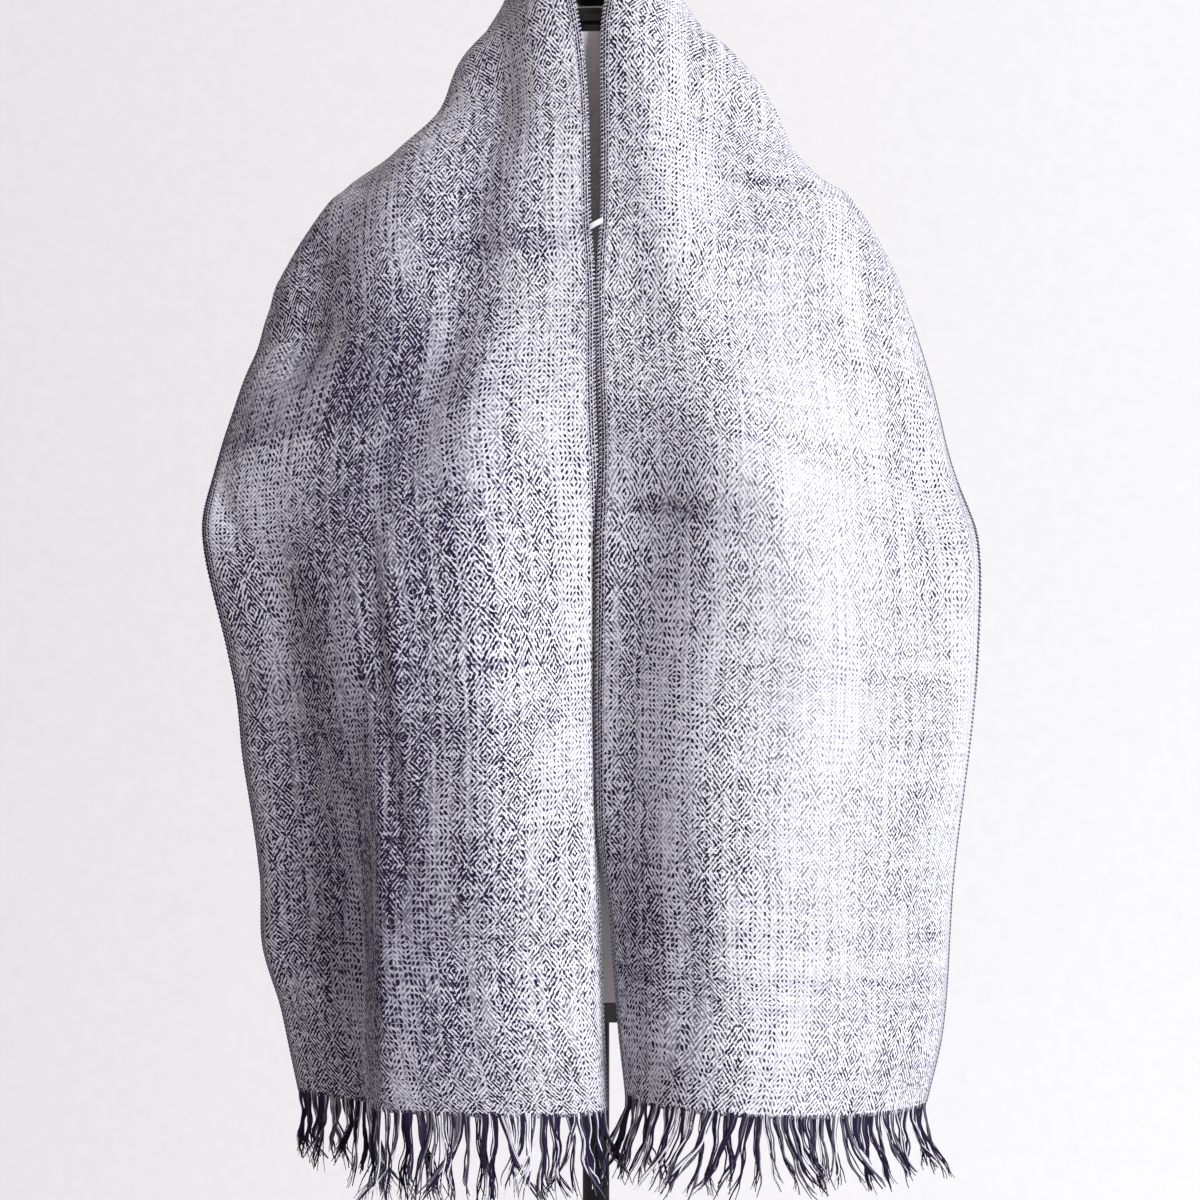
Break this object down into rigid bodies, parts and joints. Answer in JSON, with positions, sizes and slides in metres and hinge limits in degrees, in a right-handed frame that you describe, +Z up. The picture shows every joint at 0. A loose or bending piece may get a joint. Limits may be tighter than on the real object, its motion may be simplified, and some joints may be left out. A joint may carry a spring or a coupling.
{
  "type": "fringed wool scarf on a limbless dress form",
  "caption": "Long patterned wool scarf with fringed ends, hung round the neck of a limbless dress form on a round stand, both ends hanging down the front.",
  "frame": {"origin": "centre of the stand's underside, on the pole's axis", "axes": "+Z up along the pole, -Y out of the chest (the front), +X towards the scarf's right-hand end as seen from the front"},
  "size_m": [0.5594, 0.3365, 1.4902],
  "materials": {
    "wool_cloth": "navy-black and off-white point twill wool, soft and lightly napped",
    "fringe_yarn": "loose navy-black and off-white woollen yarn ends",
    "white_thread": "white thread",
    "form_cover": "pale beige-grey jersey cover, matt",
    "black_lacquer": "turned wood, black lacquer, satin",
    "black_steel": "black powder coat, satin"
  },
  "bodies": {
    "root": {"left_end": "wool_cloth", "neck_stretch": "wool_cloth", "right_end": "wool_cloth", "left_fringe": "fringe_yarn", "right_fringe": "fringe_yarn", "throat_stitch": "white_thread", "torso": "form_cover", "hip_rim": "black_lacquer", "neck_cap": "black_lacquer", "flange": "black_steel", "pole": "black_steel", "base_plate": "black_steel"}
  },
  "joints": []
}
